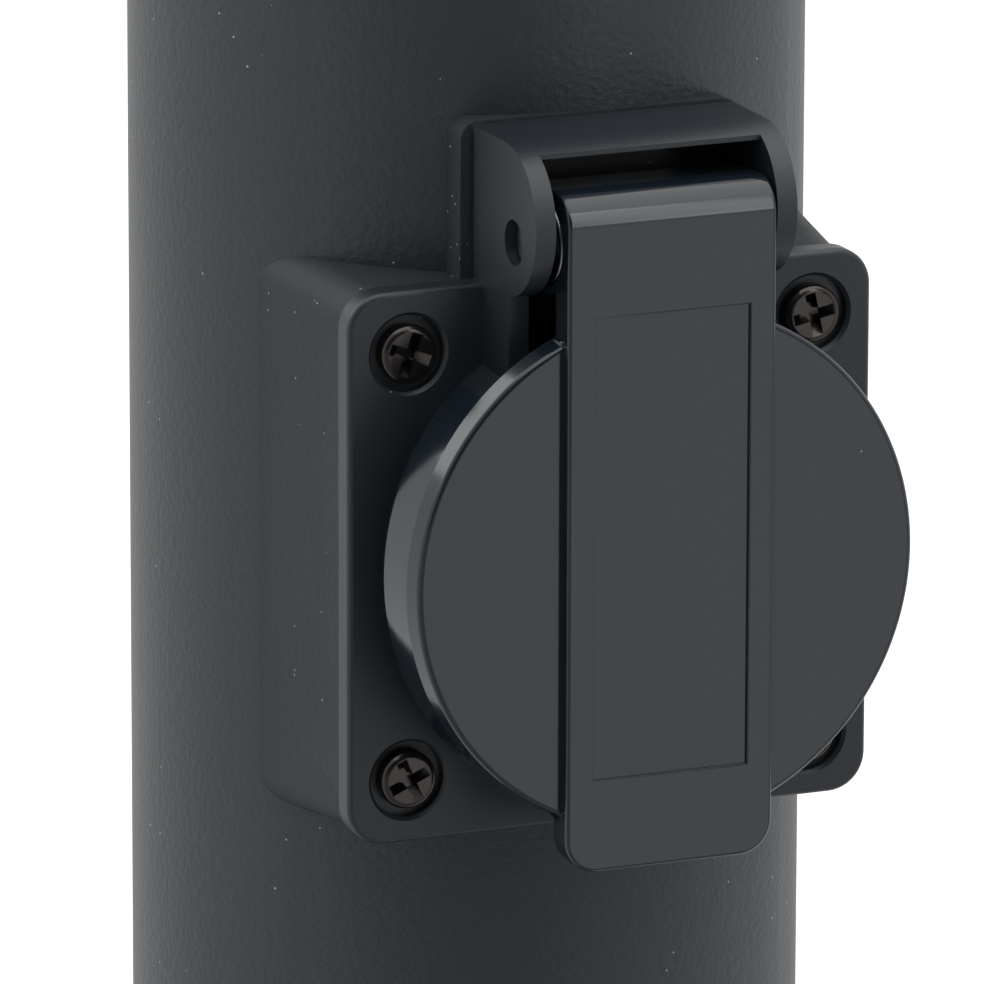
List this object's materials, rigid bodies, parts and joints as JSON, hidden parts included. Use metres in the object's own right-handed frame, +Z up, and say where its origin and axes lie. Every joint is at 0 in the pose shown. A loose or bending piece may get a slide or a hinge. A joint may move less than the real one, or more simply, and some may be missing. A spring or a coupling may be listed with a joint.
{
  "type": "bollard light with socket",
  "caption": "Short round garden bollard light with an opal head, a round foot plate and a flange-mounted outdoor socket outlet behind a sprung hinged lid.",
  "frame": {"origin": "on the ground, on the post's axis, under the centre of the foot", "axes": "+Z up along the post, -Y out of the front where the socket is, +X to the right as seen from behind the socket's plane facing +Y"},
  "size_m": [0.115, 0.115, 0.45],
  "materials": {
    "powder_coat": "fine-textured anthracite powder coat",
    "gasket_rubber": "matte moulded rubber with dusty edges",
    "housing_plastic": "satin moulded plastic",
    "lid_plastic": "smooth semi-gloss moulded plastic",
    "insert_plastic": "fine matte moulded thermoset",
    "black_screw": "blackened steel",
    "zinc_steel": "zinc-plated steel",
    "brass": "bare turned and stamped brass",
    "seal_rubber": "matte black rubber",
    "natural_plastic": "natural polyamide",
    "holder_plastic": "black thermoset",
    "lamp_metal": "nickel-plated screw cap",
    "lamp_plastic": "white moulded heat sink cover",
    "lamp_opal": "opal lamp globe",
    "opal_diffuser": "opal extruded plastic"
  },
  "bodies": {
    "post": {"base_flange": "powder_coat", "foot_spigot": "powder_coat", "cable_grommet": "seal_rubber", "post_screws": "black_screw", "terminal_bracket": "zinc_steel", "bracket_screw": "zinc_steel", "terminal_block": "natural_plastic", "block_screws": "zinc_steel", "cord_clamp": "natural_plastic", "cord_clamp_screws": "zinc_steel", "earth_screw": "brass", "post_tube": "powder_coat", "saddle_gasket": "gasket_rubber", "socket_housing": "housing_plastic", "flange_screws": "black_screw", "socket_insert": "insert_plastic", "contact_sleeves": "brass", "contact_screws": "zinc_steel", "earth_clip": "brass", "insert_screw": "zinc_steel", "hinge_pin": "zinc_steel", "lid_springs": "zinc_steel", "head_adapter": "powder_coat", "head_screws": "black_screw", "holder_plate": "zinc_steel", "holder_nipple": "zinc_steel", "holder_nut": "zinc_steel", "lampholder": "holder_plastic", "lampholder_shell": "brass", "lampholder_contact": "brass", "lamp_cap": "lamp_metal", "lamp_body": "lamp_plastic", "lamp_globe": "lamp_opal", "tie_rods": "zinc_steel", "lower_head_seal": "seal_rubber", "diffuser": "opal_diffuser", "upper_head_seal": "seal_rubber", "top_cap": "powder_coat"},
    "lid": {"lid": "lid_plastic", "lid_seal": "seal_rubber"}
  },
  "joints": [
    {"name": "lid_hinge", "type": "hinge", "parent": "post", "child": "lid", "pos_m": [0, -0.03955, 0.2397], "axis": [-1, 0, 0], "range_deg": [0, 110], "stiffness_Nm_per_rad": 0.02, "springref_deg": -34.38}
  ]
}
